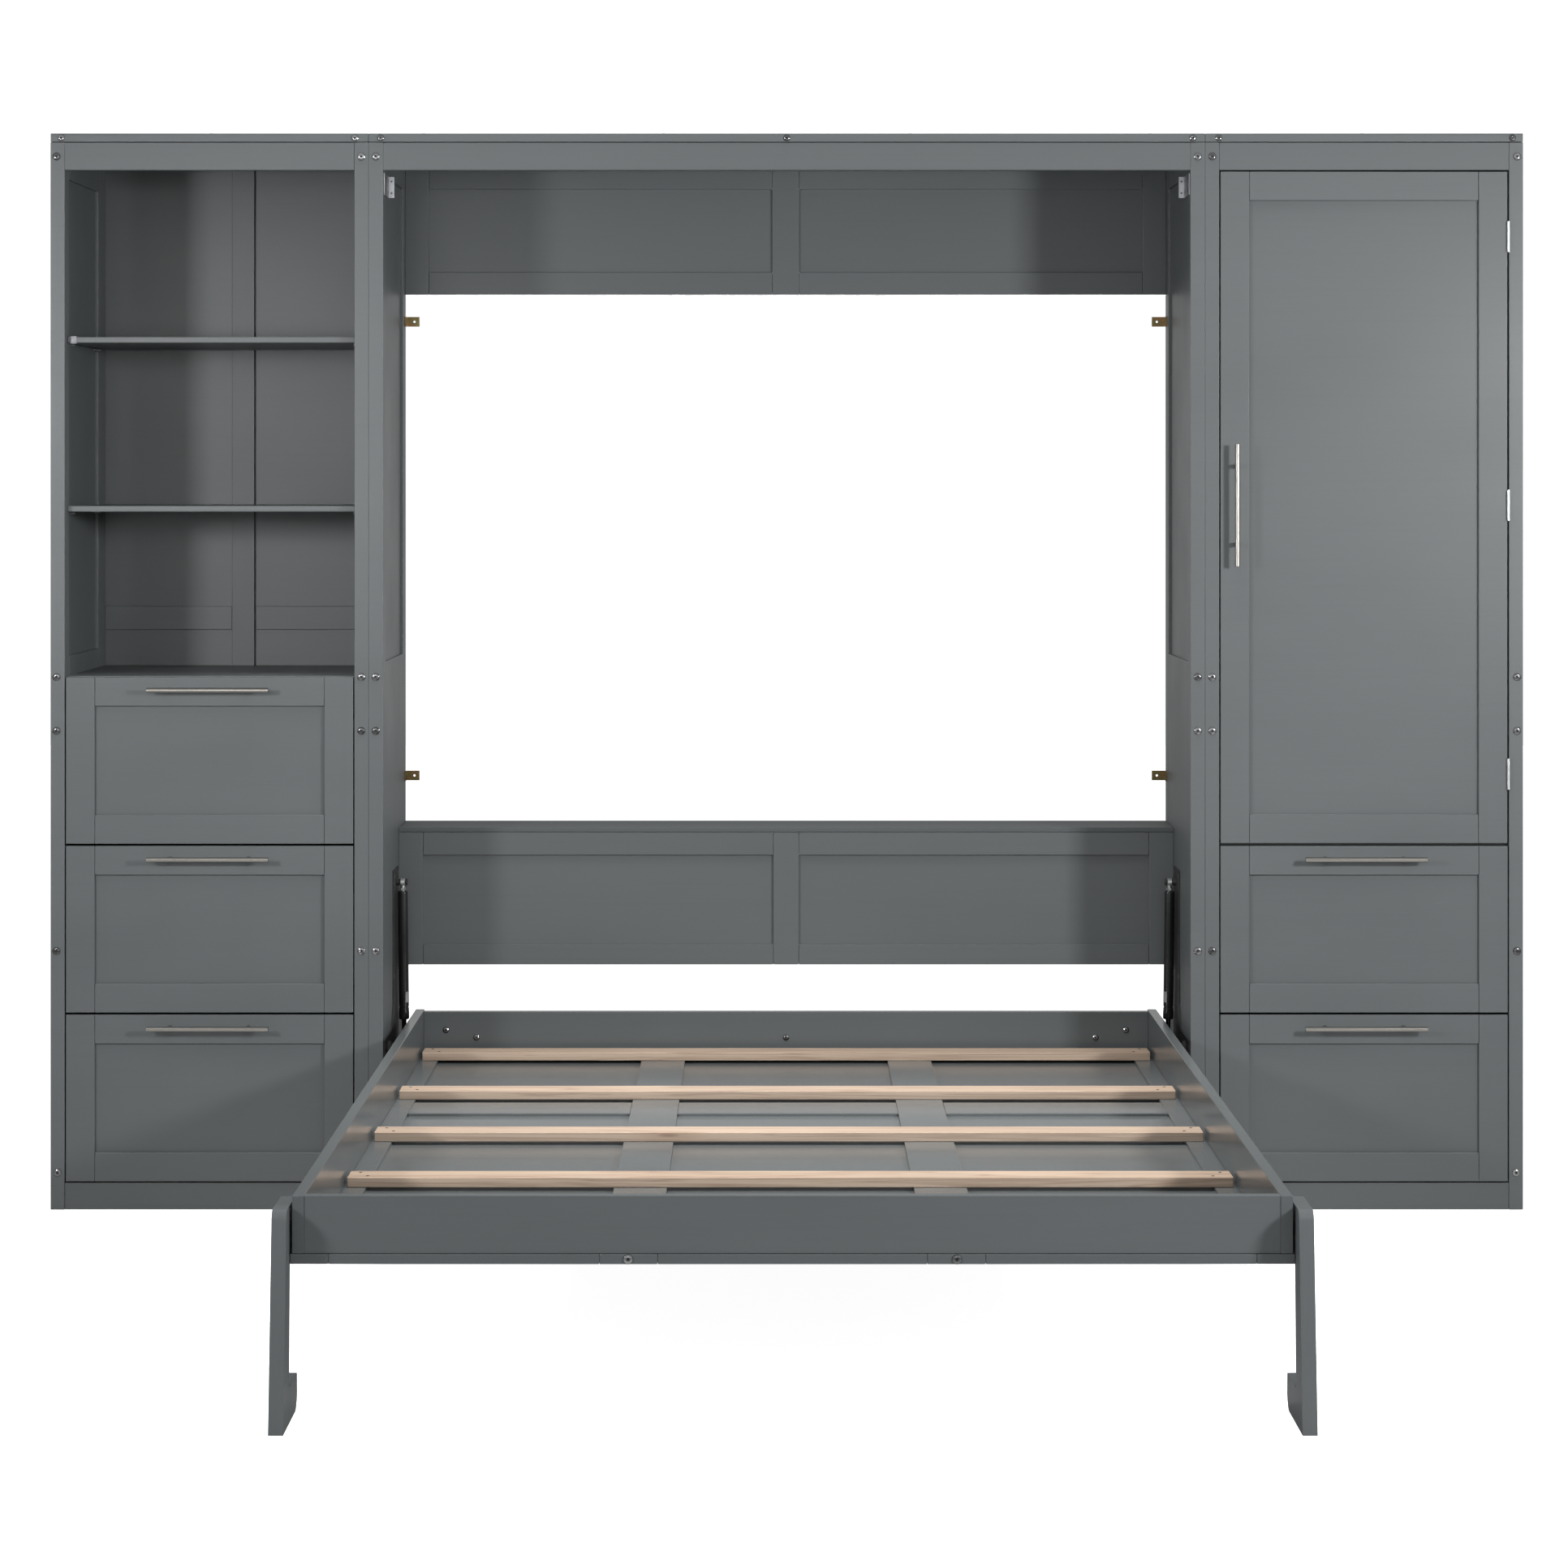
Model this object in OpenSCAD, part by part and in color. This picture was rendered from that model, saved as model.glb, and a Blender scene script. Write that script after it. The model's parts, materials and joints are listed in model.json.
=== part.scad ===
// Wall bed between two storage cabinets, shown with the bed folded down.
// Millimetres. +X is to the right seen from the front, +Y points to the wall, +Z is up.
// The origin is on the floor, under the middle of the whole open object.

/* [Cabinets] */
// Width of each side cabinet
side_cab_w = 650; // [640:1:660]
// Height of the cabinets
overall_h = 2200; // [2198:1:2220]
// Depth of the cabinets
cab_d = 480; // [475:1:500]
// Thickness of the side cabinets' side panels
side_t = 29; // [26:1:32]
// Thickness of the bed cabinet's side panels
bay_side_t = 30; // [28:1:31]
// Thickness of the top boards
top_t = 18; // [15:1:19]
// Thickness of drawer fronts, door, rails and plinths
front_t = 20; // [18:1:22]
// Thickness of the back panels with their frames
back_t = 12; // [10:1:14]
// Depth of the recess inside each frame-and-panel board
panel_recess = 6; // [3:1:7]

/* [Fronts] */
// Height of one drawer front
drawer_h = 340.5; // [320:0.5:341]
// Distance from one drawer front to the next
drawer_pitch = 345; // [343:1:346]
// Height of the lowest drawer front above the floor
drawer_base = 58; // [57:1:60]
// Gap round the fronts
front_gap = 1.5; // [1.2:0.1:2]
// Width of the stiles and rails of the drawer fronts
frame_w = 59; // [50:1:65]
// Height of the handle's axis below the top edge of a drawer front
handle_drop = 25; // [20:1:28]
// Length of a handle bar
handle_l = 248; // [200:1:260]
// Distance between a handle's posts
handle_pitch = 160; // [128:1:160]
// Radius of a handle bar
handle_r = 5; // [4:0.5:6]
// Distance from a front to the axis of its handle bar
handle_reach = 31; // [28:1:36]

/* [Bed] */
// Width of the bed over its side rails
bed_w = 1583.4; // [1560:0.1:1600]
// Gap beside the bed for the legs, the struts and the steel plates
fold_gap = 33.3; // [33.3:0.1:36]
// Thickness of the bed's side, head and foot rails
rail_t = 19; // [17:1:22]
// Height of the bed's underside above the floor
bed_base = 252; // [252:1:254]
// Thickness of the framed board under the slats
deck_t = 16; // [15:1:17]
// Height of the top edge of the side rails
rail_top = 360; // [350:1:362]
// Height of the pivot that the bed folds on
pivot_h = 318; // [318:1:319]
// Distance of the pivot behind the cabinets' fronts
pivot_d = 70; // [70:1:72]
// Distance of the bed's foot end in front of the cabinets
bed_reach = 1734; // [1700:1:1734]
// Distance of the bed's head end behind the cabinets' fronts
bed_tail = 356; // [340:1:356]
// Width of a slat
slat_w = 65; // [55:1:75]
// Thickness of a slat
slat_t = 17; // [15:1:20]

/* [Legs] */
// Thickness of a leg
leg_t = 23.5; // [18:0.5:23.5]
// Distance of the leg's foot in front of the cabinets
leg_reach = 1810; // [1800:1:1820]
// Height of the top of a leg
leg_top = 344; // [338:1:345]
// Radius of the bolt that a leg turns on
leg_bolt_r = 5; // [4:0.5:6]

/* [Gas struts] */
// Radius of a strut tube
tube_r = 10.5; // [9:0.5:10.5]
// Length of a strut tube
tube_l = 274; // [270:1:274]
// Radius of a strut rod
rod_r = 5; // [4:0.5:5.5]

/* [Hidden] */
$fn = 48;

LEFT = -1;
RIGHT = 1;
SIDES = [LEFT, RIGHT];
GREY = "slategray";

// The cabinets' front plane, placed so that the open object is centred on Y = 0
front_y = (leg_reach - cab_d) / 2;
side_h = overall_h - top_t;

// Distances from the middle plane, always positive
bed_half = bed_w / 2;
bay_in = bed_half + fold_gap;
bay_out = bay_in + bay_side_t;
half_w = bay_out + side_cab_w;
cab_in = bay_out + side_t;
cab_out = half_w - side_t;
cab_mid = (cab_in + cab_out) / 2;

// Heights in the side cabinets
drawer_tops = [for (row = [0:2]) drawer_base + row * drawer_pitch + drawer_h];
counter_top = drawer_tops[2] + front_gap;
door_base = drawer_tops[1] + 4.5;
top_rail_h = 57;
rail_base = side_h - top_rail_h;
shelf_t = 12;
inner_t = 18;
shelf_tops = [1785, 1438.5];
shelf_front = 25;
wall_gap = 2;
back_end = cab_d - wall_gap;
back_front = back_end - back_t;
pin_r = 3;
pin_reach = 9;

// Bolts on the front of the side panels and on the top boards
bolt_heights = [2153, 1089, 979, 529];
foot_bolt_h = 76;
side_bolt_r = 7.5;
edge_bolt_r = 6.5;
edge_bolts = [half_w - 22, cab_in - 1, bay_in + 5];
top_bolts = [cab_mid, 745, 253];
top_bolt_d = 30;

// Recesses in the side panels' faces: first and last depth, then lowest and highest edges
storage_recess_d = [52, 387];
storage_recess_z = [[90, 1050], [1130, 2110]];
bay_recess_d = [45, 420];
bay_recess_z = [[1117, 2119]];

// Back panel under the bed cabinet's top
upper_back_base = 1893;

// Headboard box at the back of the bed cabinet
head_d = 319;
head_t = 18;
head_base = 460;
head_top = 752;
head_shelf_t = 10;

// Angle brackets to the wall
wall_bracket_heights = [850, 1835];
wall_hole_r = 2.5;

// Keepers for the folded bed's legs
catch_z = [2076, 2120];
catch_d = [12, 110];
catch_t = 2;
catch_w = 12;

// Bed, measured from the middle plane and from the floor
rail_in = bed_half - rail_t;
rail_base_h = bed_base + deck_t;
deck_half = bed_half + 3;
deck_seam = -355;
deck_stile = 60;
deck_mid = 92;
deck_cross = 63;
slat_fronts = [237, -258, -728, -1176, -1640];
slat_half = 767;

// Bolts of the bed: distance from the middle and height on the head rail, then on the deck's edge
head_bolts = [[0, 302], [rail_in - 112, 302], [rail_in - 47, 318]];
head_bolt_r = 6;
deck_bolt_x = 260;
deck_bolt_r = 7.2;

// Steel plates and studs of the folding mechanism
plate_t = 3;
plate_in = bay_in - plate_t;
pivot_pin_r = 6;
boss_r = 17;
bearing_r = 13;
stud_flange_r = 7;
running_gap = 0.05;
stud_d = 278;
stud_h = 300;
strut_top_d = 242;
strut_top_h = 644;
strut_x = bed_half + 16.8;
strut_lean = atan((stud_d - strut_top_d) / (strut_top_h - stud_h));
strut_l = norm([stud_d - strut_top_d, strut_top_h - stud_h]);
strut_stud_r = 4;
lower_stud_r = 5;
eye_t = 10;
tube_start = 20;
rod_inside = 250;

// Legs, outlined in depth and height
leg_in = bed_half + 4.3;
leg_out = leg_in + leg_t;
leg_pivot_d = -1689;
leg_pivot_h = 300;
leg_back = -1640;
leg_lean = 39 / 320;
spacer_r = 12;
counterbore_r = 9;

// Clothes rail
rail_d = 240;
rail_h = 2030;
clothes_rail_r = 12.5;
flange_r = 21;
flange_t = 9;

// Door hinge
hinge_x = cab_out - 1.5;
hinge_d = -3.4;
knuckle_r = 3.3;
hinge_pin_r = 1.5;
hinge_l = 63;
hinge_heights = [1989, 1440, 891];
leaf_t = 1.2;
leaf_d = 0.3;
knuckle_half = 10;
knuckle_gap = 0.3;
door_edge = cab_out - 3;
door_free_edge = cab_in + 2.5;

// Handles
post_r = handle_r - 0.5;
door_handle_x = door_free_edge + 31;
door_handle_h = 1440;

// Drawer front and box
drawer_side_gap = 2.3;
drawer_half = (cab_out - cab_in) / 2 - drawer_side_gap;
box_half = 283;
box_t = 12;
box_h = 190;
box_back = 440;
board_joint = 0.1;
runner_t = 5.5;
runner_h = 45;
runner_rise = 90;
box_rise = 40;
box_floor_t = 9;

// ---------- shared shapes ----------

// A board between two X values, two depths behind the front plane and two heights
module board(x0, x1, d0, d1, z0, z1)
    translate([min(x0, x1), front_y + d0, z0])
        cube([abs(x1 - x0), d1 - d0, z1 - z0]);

// A rod along X between two X values
module rod_x(x0, x1, d, z, r)
    translate([min(x0, x1), front_y + d, z])
        rotate([0, 90, 0])
            cylinder(r = r, h = abs(x1 - x0));

// A rod along Y between two depths
module rod_y(x, d0, d1, z, r)
    translate([x, front_y + d1, z])
        rotate([90, 0, 0])
            cylinder(r = r, h = d1 - d0);

// Places an outline drawn in depth and height, extruded from x0 to x1
module profile_x(x0, x1)
    translate([min(x0, x1), front_y, 0])
        rotate([90, 0, 90])
            linear_extrude(abs(x1 - x0))
                children();

// Button head of a joint bolt, with its hexagon socket, facing the front
module bolt_front(x, d, z, r = 8)
    translate([x, front_y + d, z])
        rotate([90, 0, 0])
            bolt_head(r);

// Button head standing up along Z
module bolt_head(r) {
    socket_r = r * 0.42;
    difference() {
        union() {
            cylinder(r = r, h = 1.2);
            translate([0, 0, 1.2])
                cylinder(r1 = r, r2 = r * 0.62, h = 1.3, $fn = 32);
        }
        translate([0, 0, 1])
            cylinder(r = socket_r, h = 2, $fn = 6);
    }
}

// A front with stiles and rails round a recessed panel
module framed_front(x0, x1, z0, z1, frame) {
    bead = 2;
    difference() {
        board(x0, x1, 0, front_t, z0, z1);
        board(x0 + frame, x1 - frame, -1, panel_recess, z0 + frame, z1 - frame);
        board(x0 + frame - bead, x1 - frame + bead, -1, bead,
            z0 + frame - bead, z1 - frame + bead);
        board(x0 + frame, x1 - frame, front_t - 4, front_t + 1, z0 + frame, z1 - frame);
    }
}

// A cabinet side: an upright board with recessed panels on both faces
module side_panel(x_inner, x_outer, recess_d, recess_z) {
    inward = x_inner < x_outer ? 1 : -1;
    difference() {
        board(x_inner, x_outer, 0, cab_d, 0, side_h);
        for (z = recess_z) {
            board(x_inner - inward, x_inner + inward * panel_recess,
                recess_d[0], recess_d[1], z[0], z[1]);
            board(x_outer + inward, x_outer - inward * panel_recess,
                recess_d[0], recess_d[1], z[0], z[1]);
        }
    }
}

// Bar handle on two posts, along X
module bar_handle(x, z) {
    rod_x(x - handle_l / 2, x + handle_l / 2, -handle_reach, z, handle_r);
    for (s = SIDES)
        rod_y(x + s * handle_pitch / 2, -handle_reach, 0, z, post_r);
}

// ---------- side cabinets ----------

module storage_side(s, x_inner, x_outer)
    color(GREY)
        side_panel(s * x_inner, s * x_outer, storage_recess_d, storage_recess_z);

module top_board(x0, x1)
    color(GREY)
        board(x0, x1, 0, cab_d, side_h, overall_h);

// Two back panels that meet in a seam, stiffened by a stile and cross rails
module back_panels(s) {
    seam = cab_mid - 30;
    skin = 6;
    seam_gap = 1.5;
    stile = 49;
    rails = [[drawer_base, drawer_base + 50], [1167, 1218]];
    frame_end = back_front + skin;
    spans = [[cab_in, seam - seam_gap / 2], [seam + seam_gap / 2, cab_out]];
    color(GREY)
        for (span = spans) {
            board(s * span[0], s * span[1], frame_end, back_end, drawer_base, side_h);
            for (z = rails)
                board(s * span[0], s * span[1], back_front, frame_end, z[0], z[1]);
            if (span[1] == cab_out)
                board(s * span[0], s * (span[0] + stile),
                    back_front, frame_end, drawer_base, side_h);
        }
}

module left_shelves()
    color(GREY)
        for (top = shelf_tops)
            board(-cab_out + 1, -cab_in - 1, shelf_front, back_front - 2, top - shelf_t, top);

module left_counter_board()
    color(GREY)
        board(-cab_out, -cab_in, front_t + 1, back_front, counter_top - inner_t, counter_top);

// Four pins under each shelf, standing in the recesses of the side panels
module shelf_pins()
    color("silver")
        for (top = shelf_tops)
            for (d = [70, 370]) {
                rod_x(-cab_out - panel_recess, -cab_out + pin_reach, d, top - shelf_t - pin_r, pin_r);
                rod_x(-cab_in + panel_recess, -cab_in - pin_reach, d, top - shelf_t - pin_r, pin_r);
            }

module right_floor_board()
    color(GREY)
        board(cab_in, cab_out, front_t + 1, back_front, door_base - inner_t, door_base);

// Clothes rail with a round flange at each end
module hanging_rail() {
    ends = [cab_in - panel_recess, cab_out + panel_recess];
    color("silver") {
        rod_x(ends[0], ends[1], rail_d, rail_h, clothes_rail_r);
        rod_x(ends[0], ends[0] + flange_t, rail_d, rail_h, flange_r);
        rod_x(ends[1] - flange_t, ends[1], rail_d, rail_h, flange_r);
    }
}

// One front rail under each top board
module top_rails()
    color(GREY) {
        for (s = SIDES)
            board(s * cab_in, s * cab_out, 1, 1 + front_t, rail_base, side_h);
        board(-bay_in, bay_in, 1, 1 + front_t, rail_base, side_h);
    }

module plinth_boards()
    color(GREY)
        for (s = SIDES)
            board(s * cab_in, s * cab_out, 2, 2 + front_t, 0, drawer_base - 3);

// The cabinet's half of each pair of drawer runners
module drawer_runners()
    color("silver")
        for (s = SIDES)
            for (row = [0 : s == LEFT ? 2 : 1])
                for (side = [[cab_in, 1], [cab_out, -1]])
                    runner(s, side[0], side[1], row);

// One runner rail, screwed to the stiles of a side panel
module runner(s, x, inward, row) {
    z = runner_z(row);
    board(s * x, s * (x + inward * runner_t), front_t + 4, box_back + 10, z, z + runner_h);
}

function runner_z(row) = drawer_base + row * drawer_pitch + runner_rise;

// ---------- bed cabinet ----------

module bay_side(s)
    color(GREY)
        side_panel(s * bay_in, s * bay_out, bay_recess_d, bay_recess_z);

// A board with stiles at both ends and in the middle, and rails along both edges
module framed_back(half, d0, d1, z0, z1, end, mid, low, high) {
    bead = 2;
    difference() {
        board(-half, half, d0, d1, z0, z1);
        for (s = SIDES) {
            board(s * mid, s * (half - end), d0 - 1, d0 + panel_recess,
                z0 + low, z1 - high);
            board(s * (mid - bead), s * (half - end + bead), d0 - 1, d0 + bead,
                z0 + low - bead, z1 - high + bead);
        }
    }
}

module bay_upper_back()
    color(GREY)
        framed_back(bay_in, back_front, back_end, upper_back_base, side_h, 51, 29, 49, 60);

module headboard_panel()
    color(GREY)
        framed_back(bay_in, head_d, head_d + head_t, head_base, head_top - head_shelf_t,
            52, 27, 43, 49);

module headboard_shelf()
    color(GREY)
        board(-bay_in, bay_in, head_d - 1, cab_d, head_top - head_shelf_t, head_top);

// Angle brackets that screw the bed cabinet to the wall
module wall_brackets()
    color("goldenrod")
        for (s = SIDES)
            for (z = wall_bracket_heights)
                wall_bracket(s, z);

module wall_bracket(s, z) {
    half = 10.5;
    t = 2;
    leaf = 30;
    difference() {
        union() {
            board(s * (bay_in - leaf), s * bay_in, cab_d - t, cab_d, z - half, z + half);
            board(s * (bay_in - t), s * bay_in, cab_d - leaf, cab_d, z - half, z + half);
        }
        rod_y(s * (bay_in - 19), cab_d - t - 1, cab_d + 1, z, wall_hole_r);
    }
}

// Keepers near the top that the folded bed's legs close against
module catch_brackets()
    color("silver")
        for (s = SIDES) {
            board(s * (bay_in - catch_t), s * bay_in, catch_d[0], catch_d[1], catch_z[0], catch_z[1]);
            board(s * (bay_in - catch_w), s * (bay_in - catch_t), catch_d[1] - catch_t, catch_d[1],
                catch_z[0], catch_z[1]);
        }

// Steel plates on the bay's sides, with the pivot pins and the struts' upper studs
module mechanism_plates()
    color([0.08, 0.08, 0.09])
        for (s = SIDES) {
            profile_x(s * plate_in, s * bay_in)
                polygon([[8, 250], [293, 250], [293, 673], [190, 673],
                    [190, 395], [150, 345], [8, 345]]);
            rod_x(s * plate_in, s * (bay_in - 10), pivot_d, pivot_h, boss_r);
            rod_x(s * plate_in, s * (bed_half + 0.3), pivot_d, pivot_h, pivot_pin_r);
            rod_x(s * plate_in, s * (strut_x + eye_t / 2 + 1), strut_top_d, strut_top_h,
                stud_flange_r);
            rod_x(s * plate_in, s * (strut_x - eye_t / 2 - 4), strut_top_d, strut_top_h,
                strut_stud_r);
            rod_x(s * (strut_x - eye_t / 2 - 1), s * (strut_x - eye_t / 2 - 5),
                strut_top_d, strut_top_h, stud_flange_r);
        }

// ---------- fasteners and door hinges ----------

module cabinet_bolts()
    color("gainsboro") {
        for (s = SIDES) {
            for (z = bolt_heights)
                for (x = [half_w - side_t / 2 + 2, bay_out + side_t / 2, bay_out - bay_side_t / 2])
                    bolt_front(s * x, 0, z, side_bolt_r);
            bolt_front(s * (half_w - side_t / 2), 0, foot_bolt_h, side_bolt_r);
            for (x = edge_bolts)
                bolt_front(s * x, 0, side_h + top_t / 2, edge_bolt_r);
            for (x = top_bolts)
                translate([s * x, front_y + top_bolt_d, overall_h])
                    bolt_head(side_bolt_r);
        }
        bolt_front(0, 0, side_h + top_t / 2, edge_bolt_r);
    }

// Fixed leaves on the right-hand side panel, with two knuckles and the pin each
module door_hinge_frames() {
    outer = knuckle_half + knuckle_gap;
    color("gainsboro")
        for (z = hinge_heights) {
            board(cab_out - leaf_t, cab_out, leaf_d, front_t, z - hinge_l / 2, z + hinge_l / 2);
            for (ends = [[-hinge_l / 2, -outer], [outer, hinge_l / 2]]) {
                translate([hinge_x, front_y + hinge_d, z + ends[0]])
                    cylinder(r = knuckle_r, h = ends[1] - ends[0]);
                board(cab_out - leaf_t, cab_out, hinge_d, leaf_d, z + ends[0], z + ends[1]);
            }
            translate([hinge_x, front_y + hinge_d, z - outer - 2])
                cylinder(r = hinge_pin_r, h = 2 * outer + 4);
        }
}

// Moving leaves on the door's edge, with the middle knuckle each
module door_hinge_leaves()
    color("gainsboro")
        for (z = hinge_heights) {
            board(door_edge, door_edge + leaf_t, leaf_d, front_t, z - hinge_l / 2, z + hinge_l / 2);
            difference() {
                union() {
                    translate([hinge_x, front_y + hinge_d, z - knuckle_half])
                        cylinder(r = knuckle_r, h = 2 * knuckle_half);
                    board(door_edge, door_edge + leaf_t, hinge_d, leaf_d,
                        z - knuckle_half, z + knuckle_half);
                }
                translate([hinge_x, front_y + hinge_d, z - knuckle_half - 1])
                    cylinder(r = hinge_pin_r + running_gap, h = 2 * knuckle_half + 2);
            }
        }

module door_panel()
    color(GREY)
        framed_front(door_free_edge, door_edge, door_base + 1, rail_base - 3, frame_w);

module door_handle()
    color("silver") {
        translate([door_handle_x, front_y - handle_reach, door_handle_h - handle_l / 2])
            cylinder(r = handle_r, h = handle_l);
        for (side = SIDES)
            rod_y(door_handle_x, -handle_reach, 0, door_handle_h + side * handle_pitch / 2, post_r);
    }

// ---------- drawers ----------

module drawer_front(s, row)
    color(GREY)
        framed_front(s * cab_mid - drawer_half, s * cab_mid + drawer_half,
            drawer_tops[row] - drawer_h, drawer_tops[row], frame_w);

// Open-topped box behind a drawer front, of five boards, with the moving half of its runners
module drawer_box(s, row) {
    base = drawer_base + row * drawer_pitch + box_rise;
    x = s * cab_mid;
    z = runner_z(row);
    inside = box_half - box_t - board_joint;
    color("tan") {
        for (side = SIDES)
            board(x + side * (box_half - box_t), x + side * box_half, front_t, box_back,
                base, base + box_h);
        for (d = [front_t, box_back - box_t])
            board(x - inside, x + inside, d, d + box_t, base, base + box_h);
        board(x - inside, x + inside, front_t + box_t + board_joint,
            box_back - box_t - board_joint, base + 2, base + 2 + box_floor_t);
        for (side = SIDES)
            board(x + side * (box_half + board_joint), x + side * (box_half + runner_t),
                front_t + 2, box_back - 2, z + 4, z + runner_h - 4);
    }
}

module drawer_handle(s, row)
    color("silver")
        bar_handle(s * cab_mid, drawer_tops[row] - handle_drop);

// ---------- bed ----------

module bed_side_rails()
    color(GREY)
        for (s = SIDES)
            board(s * rail_in, s * bed_half, -bed_reach + 2, bed_tail, rail_base_h, rail_top);

module bed_head_rail()
    color(GREY)
        board(-rail_in, rail_in, bed_tail - rail_t, bed_tail, rail_base_h, rail_top - 3);

module footboard()
    color(GREY)
        board(-rail_in, rail_in, -bed_reach + 3, -bed_reach + 3 + rail_t, rail_base_h, rail_top);

// Framed board with three recessed panels on both faces
module deck(d0, d1, end0, end1) {
    skin_z = [bed_base + 4, rail_base_h - panel_recess];
    mid_in = 213.5;
    columns = [[-deck_half + deck_stile, -mid_in - deck_mid], [-mid_in, mid_in],
        [mid_in + deck_mid, deck_half - deck_stile]];
    color(GREY)
        difference() {
            board(-deck_half, deck_half, d0, d1, bed_base, rail_base_h);
            for (x = columns) {
                board(x[0], x[1], d0 + end0, d1 - end1, skin_z[1], rail_base_h + 1);
                board(x[0], x[1], d0 + end0, d1 - end1, bed_base - 1, skin_z[0]);
            }
        }
}

module bed_deck_head()
    deck(deck_seam, bed_tail, deck_cross, deck_stile);

module bed_deck_foot()
    deck(-bed_reach, deck_seam, deck_mid, deck_cross);

module bed_slats()
    color("burlywood")
        for (d = slat_fronts)
            board(-slat_half, slat_half, d, d + slat_w, rail_base_h, rail_base_h + slat_t);

// Plates on the side rails: the pivot's bearing and the struts' lower studs
module bed_hinge_plates()
    color([0.08, 0.08, 0.09])
        for (s = SIDES)
            difference() {
                union() {
                    profile_x(s * bed_half, s * (bed_half + plate_t))
                        polygon([[40, 286], [300, 286], [300, 314], [110, 348], [40, 348]]);
                    rod_x(s * bed_half, s * (bay_in - 10.5), pivot_d, pivot_h, bearing_r);
                    rod_x(s * bed_half, s * (strut_x - eye_t / 2 - 0.8), stud_d, stud_h, lower_stud_r);
                }
                rod_x(s * (bed_half - 1), s * bay_in, pivot_d, pivot_h,
                    pivot_pin_r + running_gap);
            }

module bed_bolts()
    color("gainsboro") {
        for (spot = head_bolts)
            for (s = spot[0] == 0 ? [RIGHT] : SIDES)
                bolt_front(s * spot[0], bed_tail - rail_t, spot[1], head_bolt_r);
        for (s = SIDES)
            bolt_front(s * deck_bolt_x, -bed_reach, bed_base + deck_t / 2, deck_bolt_r);
    }

// Bolt, spacer and sunk head that each leg turns on
module leg_pivot_bolts()
    color("gainsboro")
        for (s = SIDES) {
            rod_x(s * bed_half, s * (leg_in - 0.1), leg_pivot_d, leg_pivot_h, spacer_r);
            rod_x(s * bed_half, s * (leg_out - 3.9), leg_pivot_d, leg_pivot_h, leg_bolt_r);
            rod_x(s * (leg_out - 3.9), s * (leg_out - 0.5), leg_pivot_d, leg_pivot_h,
                counterbore_r - 0.5);
        }

// Hook-shaped leg: an arm along the rail, a leaning upright and a foot
module leg(s) {
    foot_h = 57;
    foot_round = 28;
    foot_back = -1632;
    top_round = 18;
    back_round = 14;
    round_h = leg_top - top_round;
    round_d = -leg_reach + leg_lean * round_h + top_round * sqrt(1 + leg_lean * leg_lean);
    lean_angle = atan(leg_lean);
    color(GREY)
        difference() {
            profile_x(s * leg_in, s * leg_out) {
                polygon([[-leg_reach, 0], [foot_back - foot_round, 0], [foot_back, foot_round],
                    [foot_back - 2, foot_h], [-1734, foot_h], [-1722, 262], [leg_back, 262],
                    [leg_back, leg_top - back_round], [leg_back - back_round, leg_top],
                    [round_d, leg_top],
                    [round_d - top_round * cos(lean_angle), round_h + top_round * sin(lean_angle)]]);
                translate([foot_back - foot_round, foot_round])
                    circle(r = foot_round);
                translate([leg_back - back_round, leg_top - back_round])
                    circle(r = back_round);
                translate([round_d, round_h])
                    circle(r = top_round);
            }
            rod_x(s * (leg_in - 1), s * (leg_out + 1), leg_pivot_d, leg_pivot_h,
                leg_bolt_r + running_gap);
            rod_x(s * (leg_out - 4), s * (leg_out + 1), leg_pivot_d, leg_pivot_h,
                counterbore_r);
        }
}

// ---------- gas struts ----------

// Puts children on a strut's axis: the origin at its upper stud, -Z down the strut
module on_strut(s)
    translate([s * strut_x, front_y + strut_top_d, strut_top_h])
        rotate([strut_lean, 0, 0])
            children();

module strut_tube(s)
    color([0.05, 0.05, 0.06])
        on_strut(s)
            difference() {
                union() {
                    translate([-eye_t / 2, 0, 0])
                        rotate([0, 90, 0])
                            cylinder(r = 8, h = eye_t);
                    translate([0, 0, -tube_start])
                        cylinder(r = 5, h = tube_start - 6);
                    translate([0, 0, -tube_start - tube_l])
                        cylinder(r = tube_r, h = tube_l);
                }
                translate([-eye_t, 0, 0])
                    rotate([0, 90, 0])
                        cylinder(r = strut_stud_r + running_gap, h = 2 * eye_t);
                translate([0, 0, -tube_start - tube_l - 1])
                    cylinder(r = rod_r + running_gap, h = rod_inside + 6);
            }

module strut_rod(s)
    color("silver")
        on_strut(s) {
            translate([0, 0, -strut_l])
                cylinder(r = rod_r, h = strut_l - tube_start - tube_l + rod_inside);
            translate([-eye_t / 2, 0, -strut_l])
                rotate([0, 90, 0])
                    cylinder(r = 9, h = eye_t);
            translate([s * (eye_t / 2 + 1.5) - 1.5, 0, -strut_l])
                rotate([0, 90, 0])
                    cylinder(r = 6, h = 3, $fn = 6);
        }

// ---------- parts by name ----------

storage_side(LEFT, cab_out, half_w);  // left_outer_side
storage_side(LEFT, cab_in, bay_out);  // left_inner_side
top_board(-half_w, -bay_out);  // left_top_board
back_panels(LEFT);  // left_back_panels
left_shelves();
left_counter_board();
shelf_pins();
bay_side(LEFT);  // bay_left_side
bay_side(RIGHT);  // bay_right_side
top_board(-bay_out, bay_out);  // bay_top_board
bay_upper_back();
headboard_panel();
headboard_shelf();
wall_brackets();
catch_brackets();
mechanism_plates();
storage_side(RIGHT, cab_in, bay_out);  // right_inner_side
storage_side(RIGHT, cab_out, half_w);  // right_outer_side
top_board(bay_out, half_w);  // right_top_board
back_panels(RIGHT);  // right_back_panels
right_floor_board();
hanging_rail();
top_rails();
plinth_boards();
drawer_runners();
door_hinge_frames();
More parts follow.
